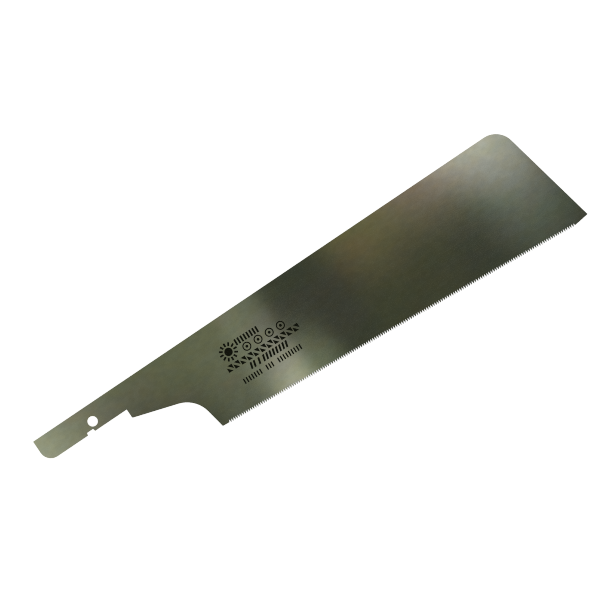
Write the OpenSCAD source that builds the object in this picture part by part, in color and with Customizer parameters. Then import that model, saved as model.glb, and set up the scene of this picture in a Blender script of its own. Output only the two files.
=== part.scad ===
// Interchangeable blade of a single-edged pull saw, all sizes in millimetres.
//
// The blade lies flat. The origin is the centre of the tang's hole, on the middle plane of the
// sheet. +X runs along the straight back edge towards the toe, +Y points at the back edge, so the
// teeth are on the -Y side, and +Z is the normal of the printed face.

/* [Sheet] */
// Thickness of the steel sheet
sheet_t = 0.6; // [0.4:0.05:0.7]

/* [Tang] */
// Width of the tang, from the back edge to its lower edge
tang_w = 14.6; // [14:0.1:16]
// Distance from the hole's centre to the tang's end
tang_end = 34.6; // [25:0.1:45]
// Radius of the corner at the tang's end, on the toothed side
tang_corner_r = 7; // [1:0.5:7]
// Diameter of the location hole
hole_d = 6; // [4:0.1:8]
// Distance from the hole's centre to the back edge
hole_to_back = 9.3; // [8.5:0.1:10]

/* [Notch in the tang's lower edge] */
// Width of the notch, halfway up its sides
notch_w = 4.6; // [2:0.1:6]
// Depth of the notch
notch_depth = 1.6; // [0.5:0.1:1.8]
// Distance from the notch's middle to the hole's centre, along the tang
notch_offset = 4.3; // [3:0.1:8]
// Angle by which each side of the notch leans outwards, in degrees
notch_flare = 12; // [0:1:20]

/* [Shoulder and throat] */
// Distance from the hole's centre to the shoulder face
shoulder_x = 19.9; // [12:0.1:25]
// Height of the shoulder face
shoulder_h = 5.7; // [3:0.1:8]
// Radius of the shoulder's lower corner
shoulder_corner_r = 0.8; // [0.2:0.1:1.5]
// Slope of the edge that runs from the shoulder to the throat, in degrees
slope_angle = 17; // [12:0.5:22]
// Radius of the curved throat
throat_r = 17; // [8:0.5:19]
// Steepness of the heel edge below the throat, in degrees
heel_angle = 79.3; // [75:0.1:85]

/* [Toothed edge] */
// Distance from the hole's centre to the heel, along the back edge
heel_x = 60.2; // [58:0.1:66]
// Width of the blade at the heel, from the back edge to the line of the tooth tips
heel_w = 53.6; // [50:0.1:58]
// Angle between the toothed edge and the back edge, in degrees
edge_tilt = 4.3; // [0:0.1:6]
// Length of the plain edge between the heel and the first gullet
heel_land = 3.9; // [2:0.1:8]
// Distance by which the plain edges at both ends stay back from the line of the tooth tips
land_inset = 0.6; // [0:0.1:1]
// Number of gullets along the edge
gullet_count = 167; // [20:1:170]
// Distance from one tooth to the next
tooth_pitch = 1.36; // [1.2:0.01:1.8]
// Height of a tooth, from the gullet's floor to the tip
tooth_h = 2.1; // [1.5:0.05:2.4]
// Width of the flat floor of each gullet
gullet_floor = 0.08; // [0.04:0.01:0.2]
// Share of each gullet that lies behind a tooth, the rest lying in front of the next one
back_share = 0.58; // [0.5:0.01:0.7]
// Angle of the sharpening bevel on the sides of each tooth, in degrees
bevel_angle = 20; // [5:1:25]
// Width of the cut, which is the distance over the outer faces of the bent teeth
kerf = 0.95; // [0.8:0.05:1.2]
// Share of a tooth's height that is bent out of the sheet, counted from its tip
bend_share = 0.75; // [0.5:0.05:0.8]

/* [Toe] */
// Length of the plain edge between the last gullet and the toe's lower corner
toe_land = 9.3; // [4:0.1:15]
// Angle by which that plain edge turns up from the line of the teeth, in degrees
toe_land_lift = 12; // [0:1:20]
// Steepness of the toe edge, in degrees
toe_angle = 78; // [70:0.5:88]
// Radius of the toe's upper corner
toe_corner_r = 12.5; // [4:0.5:20]

/* [Printed mark] */
// Thickness of the ink
ink_t = 0.02; // [0.01:0.01:0.05]
// Distance from the hole's centre to the start of the print
mark_x = 80; // [70:1:100]
// Distance from the back edge to the middle of the widest row of the print
mark_drop = 28.2; // [24:0.1:34]
// Angle by which the rows of the print drop towards the toe, in degrees
mark_tilt = 2; // [0:0.5:5]
// Outer diameter of the round emblem
emblem_d = 11; // [6:0.5:12]
// Number of rays round the emblem
emblem_rays = 12; // [6:1:16]

/* [Hidden] */
$fn = 96;

// How far a cutter runs past the surface that it cuts, and a length that spans the bent teeth
clear = 1;
through = 4 * sheet_t;

// How far the circle that rounds a corner reaches past the straight edges, to cross them cleanly
graze = 0.001;

// Heights of the long edges above the hole's centre
back_y = hole_to_back;
tang_y = back_y - tang_w;

// The toothed edge. The line of the tooth tips starts at first_tip, on the line of the heel edge,
// and the sheet's own corners stay back from it
row_l = gullet_count * tooth_pitch;
along_row = direction(-edge_tilt);
first_tip = [heel_x, back_y - heel_w];
row_end = first_tip + (heel_land + row_l) * along_row + land_inset * direction(90 - edge_tilt);
heel = meeting(row_end, along_row, first_tip, direction(180 - heel_angle));
toe = row_end + toe_land * direction(toe_land_lift - edge_tilt);
toe_top_x = toe[0] - (back_y - toe[1]) / tan(toe_angle);

// The corner where the sloping edge and the heel edge would meet, without the throat's curve
shoulder = [shoulder_x, tang_y - shoulder_h];
throat = meeting(shoulder, direction(-slope_angle), heel, direction(180 - heel_angle));

// Corners of the sheet, anticlockwise, each with the radius that rounds it
corners = [
    [-tang_end, tang_y, tang_corner_r],
    [shoulder_x, tang_y, 0],
    [shoulder[0], shoulder[1], shoulder_corner_r],
    [throat[0], throat[1], throat_r],
    [heel[0], heel[1], 0],
    [row_end[0], row_end[1], 0],
    [toe[0], toe[1], 0],
    [toe_top_x, back_y, toe_corner_r],
    [-tang_end, back_y, 0]
];

// Middle of the print's emblem, from the start of the widest row
emblem_at = [6, 8.6];

// The print's rows of bars, each given as
// [start, middle, height, bar width, gap, lean, space between groups, bars in each group]
bar_rows = [
    [11.9, 11.1, 3.8, 1.1, 0.9, 0, 0, [8]],
    [12, -4.9, 3.9, 1.2, 0.95, 0.9, 1.9, [2, 1, 8]],
    [4.6, -10.5, 3.2, 0.85, 0.95, 0, 3.4, [7, 3, 9]]
];

// Its row of rings, given as [start, middle, diameter, gap, count]
ring_row = [14, 5.8, 5.2, 2.3, 4];

// Its widest row, of square tiles that a slot splits from corner to corner, given as
// [start, middle, size, gap, count, slot width]
tile_row = [0.1, 0.1, 3.8, 0.6, 11, 1.3];

// Each tooth is bent to one side along a line near its root, which gives the kerf. The face on
// that side bends at bend_h from the line of the tips, and the far face bends 2 * mitre closer
half_t = sheet_t / 2;
bend_h = bend_share * tooth_h;
set_angle = atan((kerf / 2 - half_t) / bend_h);
mitre = half_t * tan(set_angle / 2);

// The bent row is joined to the flat sheet behind the floors of the gullets, with an overlap
seam_y = tooth_h + 0.2;
seam_lap = 0.2;

// The gullet's sides open by this much in all between its floor and the line of the tips, so that
// two neighbouring gullets meet in a sharp tip on the outer face of a bent tooth
bevel_shift = tan(bevel_angle);
gullet_spread = tooth_pitch + kerf * bevel_shift - gullet_floor;

// A vector of length 1 at an angle to the X axis
function direction(angle) = [cos(angle), sin(angle)];

// The point where the line through p along u meets the line through q along v
function meeting(p, u, q, v) = p + u * cross(q - p, v) / cross(u, v);

// The place of corner i without its radius, and the unit vectors from it to its neighbours
function place(c, i) = [c[i][0], c[i][1]];
function towards(from, to) = (to - from) / norm(to - from);
function arms(c, i) = [
    towards(place(c, i), place(c, (i + len(c) - 1) % len(c))),
    towards(place(c, i), place(c, (i + 1) % len(c)))
];

// Half of the angle between the two edges that meet at corner i
function half_angle(c, i) = acos(arms(c, i)[0] * arms(c, i)[1]) / 2;

// The two points where the arc at corner i touches its edges, and the arc's centre
function touch_points(c, i) = [
    for (arm = arms(c, i)) place(c, i) + arm * c[i][2] / tan(half_angle(c, i))
];
function arc_centre(c, i) = let (middle = arms(c, i)[0] + arms(c, i)[1])
    place(c, i) + middle / norm(middle) * c[i][2] / sin(half_angle(c, i));

// True where the outline turns left, so the corner points outwards
function points_out(c, i) = cross(-arms(c, i)[0], arms(c, i)[1]) > 0;

// The side of the sheet that tooth i leans to, which is also the way gullet i is slanted
function side(i) = i % 2 == 0 ? 1 : -1;

// Distance from the start of the tooth row to the middle of the floor of gullet i
function floor_x(i) = i * tooth_pitch + back_share * gullet_spread
    + gullet_floor / 2 - kerf * bevel_shift / 2;

// A closed outline whose corners are rounded by true arcs
module rounded_outline(c) {
    rounded = [for (i = [0 : len(c) - 1]) if (c[i][2] > 0) i];
    difference() {
        union() {
            polygon([
                for (i = [0 : len(c) - 1])
                    each c[i][2] > 0 ? touch_points(c, i) : [place(c, i)]
            ]);
            for (i = rounded)
                if (points_out(c, i))
                    translate(arc_centre(c, i)) circle(r = c[i][2] + graze);
        }
        for (i = rounded)
            if (!points_out(c, i))
                translate(arc_centre(c, i)) circle(r = c[i][2] + graze);
    }
}

// The notch in the tang's lower edge, wider at its mouth
module notch_outline() {
    roof = notch_w / 2 - notch_depth / 2 * tan(notch_flare);
    mouth = notch_w / 2 + (notch_depth / 2 + clear) * tan(notch_flare);
    translate([-notch_offset, tang_y])
        polygon([[-mouth, -clear], [mouth, -clear], [roof, notch_depth], [-roof, notch_depth]]);
}

// Places its children in the frame of the tooth row: x runs along the line of the tips from the
// first gullet towards the toe, and y points into the sheet
module in_tooth_row() {
    translate([first_tip[0], first_tip[1], 0])
        rotate([0, 0, -edge_tilt])
            translate([heel_land, 0, 0])
                children();
}

// A block of the row from the floor of gullet i to that of gullet j, up to the height top_y
module row_block(i, j, top_y) {
    translate([floor_x(i), -clear, -through / 2])
        cube([floor_x(j) - floor_x(i), clear + top_y, through]);
}

// A strip along the whole row, bent to one side below the bend line
module bent_strip(way) {
    top_y = seam_y + seam_lap;
    near_bend = [bend_h, half_t];
    far_bend = [bend_h - 2 * mitre, -half_t];
    reach = (bend_h + clear / 2) * [-cos(set_angle), sin(set_angle)];
    mirror([0, 0, way > 0 ? 0 : 1])
        rotate([90, 0, 90])
            linear_extrude(row_l)
                polygon([
                    [top_y, -half_t],
                    [top_y, half_t],
                    near_bend,
                    near_bend + reach,
                    far_bend + reach,
                    far_bend
                ]);
}

// All the teeth that lean to one side, before the gullets between them are cut
module teeth_blank(way) {
    intersection() {
        bent_strip(way);
        for (i = [1 : gullet_count - 1])
            if (side(i) == way)
                row_block(i - 1, i, seam_y + seam_lap);
    }
}

// The cutter of gullet i: a wedge with a flat floor, slanted through the sheet by the bevel angle
module gullet(i) {
    run = (tooth_h + clear) / tooth_h * gullet_spread;
    squeeze = cos(bevel_angle);
    translate([floor_x(i), tooth_h, 0])
        rotate([0, side(i) * bevel_angle, 0])
            linear_extrude(through, center = true)
                polygon([
                    [squeeze * gullet_floor / 2, 0],
                    [-squeeze * gullet_floor / 2, 0],
                    [-squeeze * (gullet_floor / 2 + back_share * run), -tooth_h - clear],
                    [squeeze * (gullet_floor / 2 + (1 - back_share) * run), -tooth_h - clear]
                ]);
}

// The sheet with its teeth
module blade() {
    color([0.44, 0.45, 0.38])
        difference() {
            union() {
                difference() {
                    translate([0, 0, -half_t])
                        linear_extrude(sheet_t)
                            difference() {
                                rounded_outline(corners);
                                notch_outline();
                            }
                    in_tooth_row() row_block(0, gullet_count - 1, seam_y);
                }
                in_tooth_row() {
                    teeth_blank(1);
                    teeth_blank(-1);
                }
            }
            in_tooth_row()
                for (i = [0 : gullet_count - 1]) gullet(i);
            cylinder(h = through, d = hole_d, center = true);
        }
}

// The sum of the first i numbers of a list
function sum_before(list, i) = i == 0 ? 0 : list[i - 1] + sum_before(list, i - 1);

// Groups of bars, which lean to the right at the top
module bars(start, middle, height, bar_w, gap, lean, space, counts) {
    for (i = [0 : len(counts) - 1]) {
        group_x = start + sum_before(counts, i) * (bar_w + gap) + i * (space - gap);
        for (j = [0 : counts[i] - 1])
            translate([group_x + j * (bar_w + gap), middle - height / 2])
                polygon([[0, 0], [bar_w, 0], [bar_w + lean, height], [lean, height]]);
    }
}

// Rings, each with a dot in the middle
module rings(start, middle, size, gap, count) {
    for (i = [0 : count - 1])
        translate([start + size / 2 + i * (size + gap), middle]) {
            difference() {
                circle(0.5 * size);
                circle(0.37 * size);
            }
            circle(0.16 * size);
        }
}

// Square tiles, each split into two triangles
module split_tiles(start, middle, size, gap, count, slot_w) {
    leg = size - slot_w / sqrt(2);
    for (i = [0 : count - 1])
        translate([start + i * (size + gap), middle - size / 2]) {
            polygon([[0, 0], [leg, 0], [0, leg]]);
            polygon([[size, size], [size - leg, size], [size, size - leg]]);
        }
}

// A disc inside a ring of short rays
module emblem() {
    disc_r = 0.22 * emblem_d;
    ray_start = 0.3 * emblem_d;
    ray_w = 0.1 * emblem_d;
    circle(disc_r);
    for (i = [0 : emblem_rays - 1])
        rotate(i * 360 / emblem_rays)
            translate([ray_start, -ray_w / 2])
                square([emblem_d / 2 - ray_start, ray_w]);
}

// The ink on the upper face: an emblem and rows of plain shapes
module printed_mark() {
    color([0.13, 0.13, 0.11])
        translate([mark_x, back_y - mark_drop, half_t])
            rotate([0, 0, -mark_tilt])
                linear_extrude(ink_t) {
                    translate(emblem_at) emblem();
                    for (r = bar_rows) bars(r[0], r[1], r[2], r[3], r[4], r[5], r[6], r[7]);
                    rings(ring_row[0], ring_row[1], ring_row[2], ring_row[3], ring_row[4]);
                    split_tiles(
                        tile_row[0], tile_row[1], tile_row[2], tile_row[3], tile_row[4], tile_row[5]
                    );
                }
}

blade();
printed_mark();
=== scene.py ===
"""A bare pull-saw blade, lying on a pale floor under soft studio light. All lengths are in metres."""

import math

import bpy
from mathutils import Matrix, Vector


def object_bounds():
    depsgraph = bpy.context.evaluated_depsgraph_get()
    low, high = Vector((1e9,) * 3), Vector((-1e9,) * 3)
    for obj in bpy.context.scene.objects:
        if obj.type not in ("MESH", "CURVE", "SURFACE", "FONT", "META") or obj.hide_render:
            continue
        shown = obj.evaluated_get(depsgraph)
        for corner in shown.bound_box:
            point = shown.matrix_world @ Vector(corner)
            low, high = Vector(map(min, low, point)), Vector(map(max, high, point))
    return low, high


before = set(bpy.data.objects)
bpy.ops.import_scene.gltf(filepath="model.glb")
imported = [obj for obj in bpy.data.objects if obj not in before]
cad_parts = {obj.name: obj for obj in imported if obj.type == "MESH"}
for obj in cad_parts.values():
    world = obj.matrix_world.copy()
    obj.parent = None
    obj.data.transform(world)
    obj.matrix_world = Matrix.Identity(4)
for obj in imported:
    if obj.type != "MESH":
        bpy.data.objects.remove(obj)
cad_low, cad_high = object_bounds()
cad_middle = (cad_low + cad_high) / 2

MM = 0.001

# The toothed edge drops away from the back edge at this angle, its lowest tip is this far from the
# toe's corner along the back edge, its teeth are this tall, and the painted shade on their cut faces
# fades out over this distance behind them
EDGE_TILT = math.radians(4.3)
TOE_LAND = 9.3 * MM
TOOTH_HEIGHT = 2.1 * MM
TOOTH_FADE = 1 * MM

# Colours of the steel: its two slow drifts and a warmer one, and the painted shade on the cut
# faces of the teeth
OLIVE = (0.50, 0.54, 0.40, 1)
PALE_OLIVE = (0.54, 0.54, 0.44, 1)
WARM_OLIVE = (0.56, 0.50, 0.40, 1)
TOOTH_FACE_SHADE = (0.09, 0.10, 0.075, 1)

# The two tints between which the steel's fine tinge wavers
COOL_TINT = (0.98, 1.0, 1.05, 1)
WARM_TINT = (1.02, 1.0, 0.95, 1)

# How much the streaks and the blotches lighten or darken the steel
STREAK_SHADE = 0.015
BLOTCH_SHADE = 0.05

# Roughness of the smoothest and the roughest streaks, and what a cut face adds to it
STREAK_ROUGHNESS = (0.185, 0.215)
CUT_ROUGHNESS = 0.25

# A face whose normal's Z is over the first value is a flat face, and under the second a cut one
FLAT_FACE = 0.75
CUT_FACE = 0.6

# Depth of the sheet's slow waves and of its grain
WAVE_DEPTH = 0.08 * MM
GRAIN_DEPTH = 0.004 * MM

# Colours of the ink, where it is whole and where it is worn
INK = (0.006, 0.0075, 0.002, 1)
WORN_INK = (0.05, 0.055, 0.04, 1)

# Noise mostly stays between these two values
NOISE_LOW = 0.3
NOISE_HIGH = 0.7

# The camera looks straight down, from this height over the blade, at a point beside the box's
# middle. It is turned so that the blade runs up to the right, and its view is this wide
CAMERA_HEIGHT = 1.2
CAMERA_TURN = math.radians(-34.0)
CAMERA_SHIFT = Vector((4.0 * MM, 17.34 * MM, 0))
VIEW_WIDTH = 341.8 * MM

WHITE = (1, 1, 1, 1)
ROOM_GREY = (0.5, 0.5, 0.5, 1)
FLOOR_GREY = (0.8, 0.8, 0.8, 1)

# How brightly the steel mirrors the room near the horizon and overhead
LOW_ROOM = 0.40
HIGH_ROOM = 0.05

# Side of the floor, how brightly it glows, and the distance, diameter and power of each soft box
FLOOR_SIZE = 60
FLOOR_GLOW = 0.6
SOFT_BOX_DISTANCE = 2.2
SOFT_BOX_SIZE = 1.4
SOFT_BOX_POWER = 5

# A card at this height is seen only in reflections. It reaches this far past the blade, and glows
# faintly in this colour where it has no light
CARD_HEIGHT = 0.08
CARD_MARGIN = 0.07
CARD_AMBIENT = Vector((0.071, 0.076, 0.064))

# Soft elliptical lights on the card, each named for the part of the blade that mirrors it to the
# camera. Each is (middle, half sizes, turn in degrees, share of it that is evenly bright, colour),
# in millimetres from the middle of the blade
CARD_LIGHTS = {
    "end of the tang": ((-205, 25), (110, 70), 0, 0.0, (0.78, 0.76, 0.68)),
    "heel half": ((-90, 82), (78, 120), 28, 0.4, (0.15, 0.15, 0.10)),
    "left of the strip": ((-48, -35), (34, 90), 0, 0.3, (0.09, 0.09, 0.08)),
    "tall strip": ((-29, 10), (18, 160), 0, 0.5, (0.13, 0.13, 0.12)),
    "foot of the strip": ((-28, -68), (19, 92), -5, 0.5, (0.42, 0.39, 0.38)),
    "right of the strip": ((-8, -25), (22, 38), 0, 0.3, (0.15, 0.18, 0.12)),
    "middle": ((62, 0), (36, 80), 0, 0.7, (0.014, 0.012, 0.0)),
    "warm middle": ((48, 50), (35, 64), 15, 0.2, (0.14, 0.11, 0.05)),
    "brown stretch": ((92, 50), (44, 60), 20, 0.2, (0.24, 0.18, 0.15)),
    "toe": ((132, 60), (51, 76), 25, 0.0, (0.90, 0.88, 0.90)),
    "toe corner": ((144, 5), (42, 58), 0, 0.1, (0.13, 0.15, 0.15)),
}


# Node trees ------------------------------------------------------------------------------------

def add_node(tree, kind, inputs=None, **settings):
    """Adds a node, with its settings and inputs. An input is a value or another node's output."""
    node = tree.nodes.new(kind)
    for name, value in settings.items():
        setattr(node, name, value)
    for socket, value in (inputs or {}).items():
        if isinstance(value, bpy.types.NodeSocket):
            tree.links.new(value, node.inputs[socket])
        else:
            node.inputs[socket].default_value = value
    return node


def maths(tree, operation, first, second=0.0):
    """The result of one sum, product or other operation on values or outputs."""
    node = add_node(tree, "ShaderNodeMath", {0: first, 1: second}, operation=operation)
    return node.outputs[0]


def ramp(tree, value, start, end, low=0.0, high=1.0):
    """A smooth step, which is low at start and high at end, whichever of the two is greater."""
    node = add_node(
        tree,
        "ShaderNodeMapRange",
        {"Value": value, "From Min": start, "From Max": end, "To Min": low, "To Max": high},
        interpolation_type="SMOOTHSTEP",
    )
    return node.outputs[0]


def blend(tree, factor, first, second):
    """A colour between two colours."""
    node = add_node(
        tree, "ShaderNodeMix", {"Factor": factor, 6: first, 7: second}, data_type="RGBA"
    )
    return node.outputs[2]


def multiply(tree, first, second):
    """The product of two colours, or of a colour and a value."""
    node = add_node(tree, "ShaderNodeVectorMath", {0: first, 1: second}, operation="MULTIPLY")
    return node.outputs[0]


def noise(tree, place, size, seed, detail=2.0):
    """Noise whose blobs have the given size along X, Y and Z."""
    stretched = add_node(
        tree,
        "ShaderNodeMapping",
        {"Vector": place, "Location": (seed, seed, seed), "Scale": [1 / length for length in size]},
    )
    node = add_node(
        tree,
        "ShaderNodeTexNoise",
        {"Vector": stretched.outputs[0], "Scale": 1.0, "Detail": detail},
    )
    return node.outputs["Fac"]


def new_material(name):
    """An empty material, its tree, its shader and the object's own coordinates."""
    material = bpy.data.materials.new(name)
    material.use_nodes = True
    tree = material.node_tree
    shader = tree.nodes["Principled BSDF"]
    place = add_node(tree, "ShaderNodeTexCoord").outputs["Object"]
    return material, tree, shader, place


# Materials -------------------------------------------------------------------------------------

def steel_colour(tree, place, streaks):
    """Olive steel with slow drifts of tint from its oil film, fine blotches and faint streaks."""
    drift = noise(tree, place, (60 * MM, 28 * MM, 28 * MM), seed=3.1)
    warm = noise(tree, place, (34 * MM, 22 * MM, 22 * MM), seed=8.7)
    tinge = noise(tree, place, (7 * MM, 5 * MM, 5 * MM), seed=7.2, detail=3.0)
    blotches = noise(tree, place, (4.5 * MM, 3.2 * MM, 3.2 * MM), seed=5.5, detail=4.0)
    colour = blend(tree, ramp(tree, drift, 0.38, 0.62), OLIVE, PALE_OLIVE)
    colour = blend(tree, ramp(tree, warm, 0.55, 0.75, 0.0, 0.5), colour, WARM_OLIVE)
    tint = blend(tree, ramp(tree, tinge, NOISE_LOW, NOISE_HIGH), COOL_TINT, WARM_TINT)
    colour = multiply(tree, colour, tint)
    streak_shade = ramp(tree, streaks, NOISE_LOW, NOISE_HIGH, -STREAK_SHADE, STREAK_SHADE)
    blotch_shade = ramp(tree, blotches, NOISE_LOW, NOISE_HIGH, -BLOTCH_SHADE, BLOTCH_SHADE)
    shade = maths(tree, "ADD", maths(tree, "ADD", streak_shade, 1.0), blotch_shade)
    return multiply(tree, colour, shade)


def tooth_row(tree, place):
    """1 on the teeth, 0 on the rest of the blade, with a smooth step between them."""
    axes = add_node(tree, "ShaderNodeSeparateXYZ", {0: place})
    across = maths(tree, "SUBTRACT", axes.outputs["Y"], cad_low.y)
    along = maths(tree, "SUBTRACT", axes.outputs["X"], cad_high.x - TOE_LAND)
    drop = maths(tree, "MULTIPLY", along, math.tan(EDGE_TILT))
    height = maths(tree, "ADD", across, drop)
    return ramp(tree, height, TOOTH_HEIGHT + TOOTH_FADE, TOOTH_HEIGHT)


def make_steel():
    """Satin steel with a lengthwise grain. Its cut faces are rougher, and on the teeth painted shade
    darkens them.
    """
    material, tree, shader, place = new_material("blade_steel")
    fine = noise(tree, place, (9 * MM, 0.14 * MM, 1.0), seed=1.3, detail=3.0)
    coarse = noise(tree, place, (45 * MM, 0.9 * MM, 1.0), seed=6.2, detail=3.0)
    fine_share = maths(tree, "MULTIPLY", fine, 0.4)
    coarse_share = maths(tree, "MULTIPLY", coarse, 0.6)
    streaks = maths(tree, "ADD", fine_share, coarse_share)
    colour = steel_colour(tree, place, streaks)
    rough = ramp(tree, streaks, NOISE_LOW, NOISE_HIGH, *STREAK_ROUGHNESS)

    normal = add_node(tree, "ShaderNodeNewGeometry").outputs["True Normal"]
    upright = add_node(tree, "ShaderNodeSeparateXYZ", {0: normal}).outputs["Z"]
    cut_face = ramp(tree, maths(tree, "ABSOLUTE", upright), FLAT_FACE, CUT_FACE)
    # Painted shade: the teeth's cut faces get a dark colour that stands in for the shade on them
    painted_tooth_shade = maths(tree, "MULTIPLY", cut_face, tooth_row(tree, place))
    colour = blend(tree, painted_tooth_shade, colour, TOOTH_FACE_SHADE)
    rough = maths(tree, "ADD", rough, maths(tree, "MULTIPLY", cut_face, CUT_ROUGHNESS))

    wave = noise(tree, place, (40 * MM, 26 * MM, 26 * MM), seed=2.4, detail=1.0)
    wavy = add_node(
        tree, "ShaderNodeBump", {"Strength": 1.0, "Distance": WAVE_DEPTH, "Height": wave}
    )
    grain = add_node(
        tree,
        "ShaderNodeBump",
        {"Strength": 0.5, "Distance": GRAIN_DEPTH, "Height": streaks, "Normal": wavy.outputs[0]},
    )
    # The painted shade on the teeth's cut faces also makes them less metallic
    metallic = ramp(tree, painted_tooth_shade, 0.0, 1.0, 1.0, 0.3)
    across = add_node(tree, "ShaderNodeCombineXYZ", {"X": 0.0, "Y": 1.0, "Z": 0.0}).outputs[0]
    links = {
        "Base Color": colour,
        "Roughness": rough,
        "Normal": grain.outputs[0],
        "Metallic": metallic,
        "Tangent": across,
    }
    for socket, output in links.items():
        tree.links.new(output, shader.inputs[socket])
    shader.inputs["Anisotropic"].default_value = 0.5
    return material


def make_ink():
    """Dark printing ink, worn to a paler and smoother grey in small spots."""
    material, tree, shader, place = new_material("printing_ink")
    pores = noise(tree, place, (0.5 * MM, 0.35 * MM, 1.0), seed=4.4, detail=3.0)
    worn = ramp(tree, pores, 0.60, 0.75)
    colour = blend(tree, worn, INK, WORN_INK)
    bump = add_node(
        tree, "ShaderNodeBump", {"Strength": 0.4, "Distance": 0.01 * MM, "Height": pores}
    )
    tree.links.new(colour, shader.inputs["Base Color"])
    tree.links.new(ramp(tree, worn, 0.0, 1.0, 0.8, 0.5), shader.inputs["Roughness"])
    shader.inputs["Specular IOR Level"].default_value = 0.1
    tree.links.new(bump.outputs[0], shader.inputs["Normal"])
    return material


def dress(node, material):
    """Puts one material on a CAD node."""
    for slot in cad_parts[node].material_slots:
        slot.material = material


# Studio ----------------------------------------------------------------------------------------

def make_plane(name, size, place, material):
    """A level rectangle with one material."""
    mesh = bpy.data.meshes.new(name)
    x, y = size[0] / 2, size[1] / 2
    mesh.from_pydata([(-x, -y, 0), (x, -y, 0), (x, y, 0), (-x, y, 0)], [], [(0, 1, 2, 3)])
    plane = bpy.data.objects.new(name, mesh)
    plane.location = place
    plane.data.materials.append(material)
    bpy.context.collection.objects.link(plane)
    return plane


def make_floor():
    """The pale floor, which just touches the lowest teeth. Its glow keeps the shadows faint."""
    material, _, shader, _ = new_material("pale_floor")
    shader.inputs["Base Color"].default_value = FLOOR_GREY
    shader.inputs["Emission Color"].default_value = WHITE
    shader.inputs["Emission Strength"].default_value = FLOOR_GLOW
    shader.inputs["Roughness"].default_value = 0.9
    shader.inputs["Specular IOR Level"].default_value = 0.1
    make_plane("floor", (FLOOR_SIZE, FLOOR_SIZE), (0, 0, cad_low.z), material)


def soft_light(tree, place, centre, half_size, turn, core):
    """How bright one light of the card is at a place on the blade, from 0 to 1."""
    in_light = add_node(
        tree,
        "ShaderNodeMapping",
        {
            "Vector": place,
            "Location": (cad_middle.x + centre[0] * MM, cad_middle.y + centre[1] * MM, 0),
            "Rotation": (0, 0, math.radians(turn)),
            "Scale": (half_size[0] * MM, half_size[1] * MM, 1),
        },
        vector_type="TEXTURE",
    )
    distance = add_node(tree, "ShaderNodeVectorMath", {0: in_light.outputs[0]}, operation="LENGTH")
    return ramp(tree, distance.outputs["Value"], 1.0, core)


def make_card(aim):
    """The card whose soft lights the steel mirrors to a camera over the point aim."""
    material = bpy.data.materials.new("light_card")
    material.use_nodes = True
    tree = material.node_tree
    tree.nodes.clear()
    place = add_node(tree, "ShaderNodeNewGeometry").outputs["Position"]
    # A ray that leaves the blade at p meets the card at p + (p - aim) * CARD_HEIGHT / CAMERA_HEIGHT
    spread = 1 + CARD_HEIGHT / CAMERA_HEIGHT
    on_blade = add_node(
        tree,
        "ShaderNodeMapping",
        {
            "Vector": place,
            "Location": [c - c / spread for c in (aim.x, aim.y)] + [0],
            "Scale": (1 / spread, 1 / spread, 0),
        },
    )
    total = CARD_AMBIENT
    for centre, half_size, turn, core, colour in CARD_LIGHTS.values():
        amount = soft_light(tree, on_blade.outputs[0], centre, half_size, turn, core)
        light = add_node(
            tree, "ShaderNodeVectorMath", {0: colour, "Scale": amount}, operation="SCALE"
        )
        total = add_node(
            tree, "ShaderNodeVectorMath", {0: total, 1: light.outputs[0]}, operation="ADD"
        ).outputs[0]
    glow = add_node(tree, "ShaderNodeEmission", {"Color": total, "Strength": 1.0})
    tree.links.new(glow.outputs[0], add_node(tree, "ShaderNodeOutputMaterial").inputs["Surface"])
    size = (cad_high - cad_low).xy + 2 * Vector((CARD_MARGIN, CARD_MARGIN))
    card = make_plane("light_card", size, (cad_middle.x, cad_middle.y, CARD_HEIGHT), material)
    card.visible_camera = False
    card.visible_diffuse = False
    card.visible_shadow = False


def make_soft_box(name, direction):
    """A large soft box that faces the blade from one direction."""
    light = bpy.data.lights.new(name, "AREA")
    light.shape = "DISK"
    light.size = SOFT_BOX_SIZE
    light.energy = SOFT_BOX_POWER
    soft_box = bpy.data.objects.new(name, light)
    soft_box.location = cad_middle + direction.normalized() * SOFT_BOX_DISTANCE
    soft_box.rotation_euler = direction.to_track_quat("Z", "Y").to_euler()
    bpy.context.collection.objects.link(soft_box)


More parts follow.
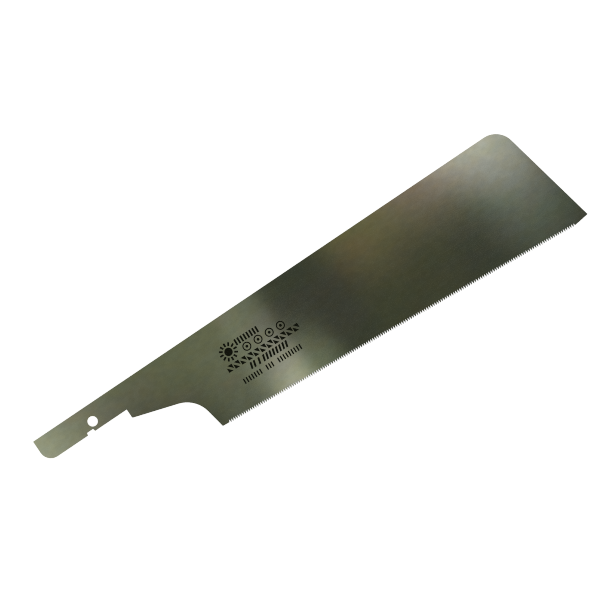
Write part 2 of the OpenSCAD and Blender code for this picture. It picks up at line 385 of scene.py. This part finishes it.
def make_world():
    """A room that is white to the camera and grey to the floor, and that the steel mirrors dimly.

    Its mirrored brightness falls towards the zenith and varies in soft clouds.
    """
    world = bpy.data.worlds.new("room")
    world.use_nodes = True
    world.cycles.sampling_method = "NONE"
    bpy.context.scene.world = world
    tree = world.node_tree
    direction = add_node(tree, "ShaderNodeTexCoord").outputs["Generated"]
    height = add_node(tree, "ShaderNodeSeparateXYZ", {0: direction}).outputs["Z"]
    level = ramp(tree, height, 0.35, 0.95, LOW_ROOM, HIGH_ROOM)
    clouds = noise(tree, direction, (0.45, 0.45, 0.3), seed=1.7, detail=1.0)
    level = maths(tree, "MULTIPLY", level, ramp(tree, clouds, 0.35, 0.65, 0.5, 1.6))
    mirrored = add_node(tree, "ShaderNodeCombineXYZ", {"X": level, "Y": level, "Z": level})
    ray = add_node(tree, "ShaderNodeLightPath").outputs
    colour = blend(tree, ray["Is Diffuse Ray"], mirrored.outputs[0], ROOM_GREY)
    colour = blend(tree, ray["Is Camera Ray"], colour, WHITE)
    tree.links.new(colour, tree.nodes["Background"].inputs["Color"])


def make_camera():
    """Makes the camera of the main view and gives the point that it looks at."""
    aim = cad_middle + CAMERA_SHIFT
    data = bpy.data.cameras.new("camera")
    data.lens = data.sensor_width * CAMERA_HEIGHT / VIEW_WIDTH
    data.clip_start = 0.01
    camera = bpy.data.objects.new("camera", data)
    camera.location = (aim.x, aim.y, cad_high.z + CAMERA_HEIGHT)
    camera.rotation_euler = (0, 0, CAMERA_TURN)
    bpy.context.collection.objects.link(camera)
    bpy.context.scene.camera = camera
    return aim


dress("blade", make_steel())
dress("printed_mark", make_ink())
make_floor()
make_card(make_camera())
make_world()
make_soft_box("soft_box_back", Vector((1, 1, 1.1)))
make_soft_box("soft_box_front", Vector((-1, -1, 1.1)))
bpy.context.scene.view_settings.view_transform = "Standard"

# A wider pixel filter or the denoiser would blur the fine teeth away
bpy.context.scene.cycles.filter_width = 1.0
bpy.context.scene.cycles.use_denoising = False
